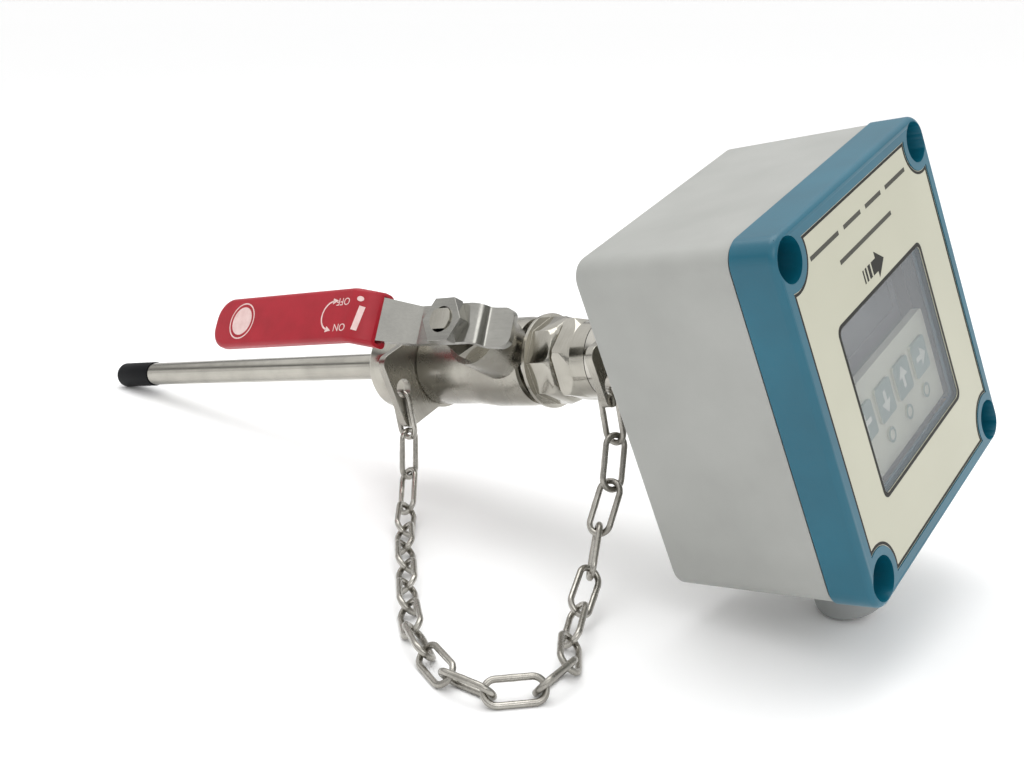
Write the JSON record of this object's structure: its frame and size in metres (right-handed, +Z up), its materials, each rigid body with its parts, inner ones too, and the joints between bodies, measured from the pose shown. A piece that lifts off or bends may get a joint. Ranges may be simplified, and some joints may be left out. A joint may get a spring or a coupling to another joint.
{
  "type": "insertion air flow meter",
  "caption": "Probe tube through a compression fitting and a lever ball valve, with a display housing and a safety chain.",
  "frame": {"origin": "middle of the bounding box on the table that the meter lies on", "axes": "+X runs from the probe tip towards the display lid, as seen from above; +Z is up, away from the table; +Y completes the frame and points away from the lever side"},
  "size_m": [0.4642, 0.202, 0.1722],
  "materials": {
    "housing_grey": "moulded polycarbonate, light grey, fine matt grain",
    "lid_teal": "moulded polycarbonate, teal, satin",
    "seal_black": "black rubber",
    "screw_steel": "stainless steel screws",
    "label_film": "cream polyester film, satin",
    "window_glass": "clear window pane",
    "board_green": "glass-filled board with green lacquer",
    "spacer_brass": "turned brass",
    "panel_plastic": "light grey key panel",
    "display_dark": "dark display module",
    "terminal_plastic": "moulded terminal block",
    "gland_grey": "moulded polyamide, grey",
    "tube_steel": "drawn stainless tube",
    "cap_black": "black moulded cap",
    "sensor_steel": "stainless sensing pins",
    "turned_steel": "turned stainless steel",
    "polished_steel": "polished stainless steel",
    "cast_steel": "blasted stainless casting",
    "plate_steel": "laser-cut stainless plate",
    "seat_plastic": "white fluoropolymer",
    "lever_steel": "pressed stainless strip",
    "sleeve_red": "red dipped vinyl",
    "chain_steel": "welded stainless wire links"
  },
  "bodies": {
    "meter": {"enclosure_base": "housing_grey", "lid_gasket": "seal_black", "enclosure_lid": "lid_teal", "lid_screws": "screw_steel", "front_label": "label_film", "window_lens": "window_glass", "circuit_board": "board_green", "board_spacers": "spacer_brass", "keypad_panel": "panel_plastic", "display_module": "display_dark", "supply_board": "board_green", "terminal_block": "terminal_plastic", "gland_body": "gland_grey", "gland_dome_nut": "gland_grey", "gland_seal": "seal_black", "gland_locknut": "gland_grey", "probe_tube": "tube_steel", "probe_tip_cap": "cap_black", "sensor_plug": "sensor_steel", "process_collar": "turned_steel", "inner_lug_plate": "plate_steel", "valve_body": "cast_steel", "valve_end_cap": "turned_steel", "ball_seats": "seat_plastic", "stem_packing": "seat_plastic", "packing_nut": "turned_steel", "compression_body": "turned_steel", "ferrule": "turned_steel", "compression_nut": "polished_steel", "outer_lug_plate": "plate_steel", "housing_nipple": "turned_steel", "nipple_locknut": "turned_steel", "chain_link_01": "chain_steel", "chain_link_02": "chain_steel", "chain_link_03": "chain_steel", "chain_link_04": "chain_steel", "chain_link_05": "chain_steel", "chain_link_06": "chain_steel", "chain_link_07": "chain_steel", "chain_link_08": "chain_steel", "chain_link_09": "chain_steel", "chain_link_10": "chain_steel", "chain_link_11": "chain_steel", "chain_link_12": "chain_steel", "chain_link_13": "chain_steel", "chain_link_14": "chain_steel", "chain_link_15": "chain_steel", "chain_link_16": "chain_steel", "chain_link_17": "chain_steel", "chain_link_18": "chain_steel", "chain_link_19": "chain_steel", "chain_link_20": "chain_steel", "chain_link_21": "chain_steel"},
    "lever": {"valve_ball": "polished_steel", "valve_stem": "turned_steel", "lever_handle": "lever_steel", "lever_sleeve": "sleeve_red", "lever_nut": "lever_steel"}
  },
  "joints": [
    {"name": "lever_turn", "type": "hinge", "parent": "meter", "child": "lever", "pos_m": [0.05849, 0.0291, 0.06656], "axis": [-0.1055, -0.8572, 0.5041], "range_deg": [-15, 0]}
  ]
}
